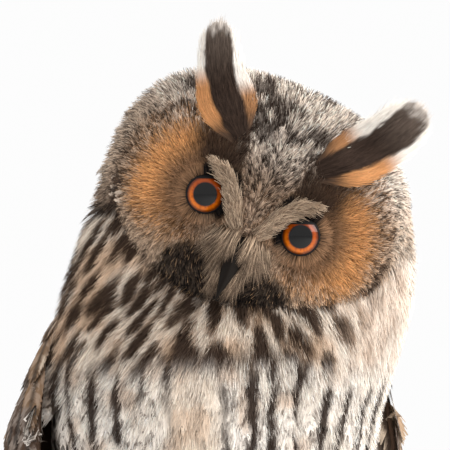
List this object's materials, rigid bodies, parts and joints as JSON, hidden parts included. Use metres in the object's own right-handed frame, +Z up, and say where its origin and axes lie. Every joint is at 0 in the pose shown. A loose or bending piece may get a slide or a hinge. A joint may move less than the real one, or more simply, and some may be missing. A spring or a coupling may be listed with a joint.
{
  "type": "long-eared owl figure",
  "caption": "Life-size long-eared owl, perched with its head tilted, on a cut branch held by a round display stand.",
  "frame": {"origin": "centre of the stand base's underside, on the floor", "axes": "+Z up, -Y the way the owl's body faces, +X the owl's left side"},
  "size_m": [0.176, 0.176, 0.4109],
  "materials": {
    "coat_head": "soft mottled grey-brown feathers",
    "coat_body": "soft cream and buff feathers with dark streaks",
    "flight_feather": "barred brown flight feathers",
    "ear_tuft": "dark feathers with buff and white edges",
    "leg_feather": "plain buff down",
    "eye": "glossy orange",
    "horn": "polished dark horn",
    "bark": "rough bark",
    "base_wood": "satin varnish",
    "rod_metal": "satin black"
  },
  "bodies": {
    "root": {"head": "coat_head", "bill_upper": "horn", "bill_lower": "horn", "eye_right": "eye", "ear_tuft_right": "ear_tuft", "eye_left": "eye", "ear_tuft_left": "ear_tuft", "neck": "coat_head", "torso": "coat_body", "wing_right": "flight_feather", "wing_left": "flight_feather", "tail": "flight_feather", "thigh_right": "leg_feather", "shank_right": "leg_feather", "foot_right": "leg_feather", "claw_right_front_inner": "horn", "claw_right_front_outer": "horn", "claw_right_rear_inner": "horn", "claw_right_rear_outer": "horn", "thigh_left": "leg_feather", "shank_left": "leg_feather", "foot_left": "leg_feather", "claw_left_front_inner": "horn", "claw_left_front_outer": "horn", "claw_left_rear_inner": "horn", "claw_left_rear_outer": "horn", "perch_branch": "bark", "stand_base": "base_wood", "stand_rod_right": "rod_metal", "stand_rod_left": "rod_metal"}
  },
  "joints": []
}
